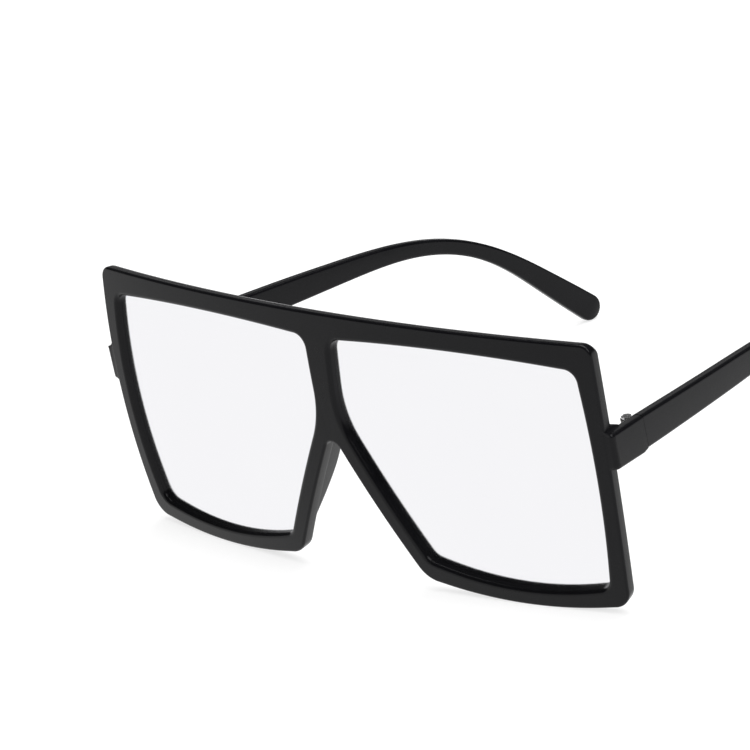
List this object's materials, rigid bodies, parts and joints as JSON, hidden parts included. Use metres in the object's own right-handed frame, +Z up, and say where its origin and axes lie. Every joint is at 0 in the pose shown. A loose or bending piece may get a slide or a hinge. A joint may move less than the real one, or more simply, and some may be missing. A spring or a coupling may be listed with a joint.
{
  "type": "sunglasses",
  "caption": "Oversized flat-topped square sunglasses with a gloss black frame, curved mirror lenses and folding temples on screw hinges.",
  "frame": {"origin": "on the table, under the centre of the box round the open sunglasses", "axes": "+X to the wearer's left, +Y back along the open temples, +Z up; the front of the sunglasses faces -Y"},
  "size_m": [0.1506, 0.1532, 0.065],
  "materials": {
    "black_plastic": "polished moulded",
    "mirror_lens": "silver mirror coated",
    "hinge_metal": "plated",
    "screw_steel": "bright"
  },
  "bodies": {
    "front": {"front_frame": "black_plastic", "lens_left": "mirror_lens", "lens_right": "mirror_lens", "hinge_front_left": "hinge_metal", "hinge_front_right": "hinge_metal", "hinge_screw_left": "screw_steel", "hinge_screw_right": "screw_steel"},
    "temple_left": {"temple_left": "black_plastic", "hinge_temple_left": "hinge_metal"},
    "temple_right": {"temple_right": "black_plastic", "hinge_temple_right": "hinge_metal"}
  },
  "joints": [
    {"name": "fold_left", "type": "hinge", "parent": "front", "child": "temple_left", "pos_m": [0.06971, -0.05459, 0.03961], "axis": [0, -0.0673, 0.9977], "range_deg": [0, 84]},
    {"name": "fold_right", "type": "hinge", "parent": "front", "child": "temple_right", "pos_m": [-0.06971, -0.05459, 0.03961], "axis": [0, 0.0673, -0.9977], "range_deg": [0, 78]}
  ]
}
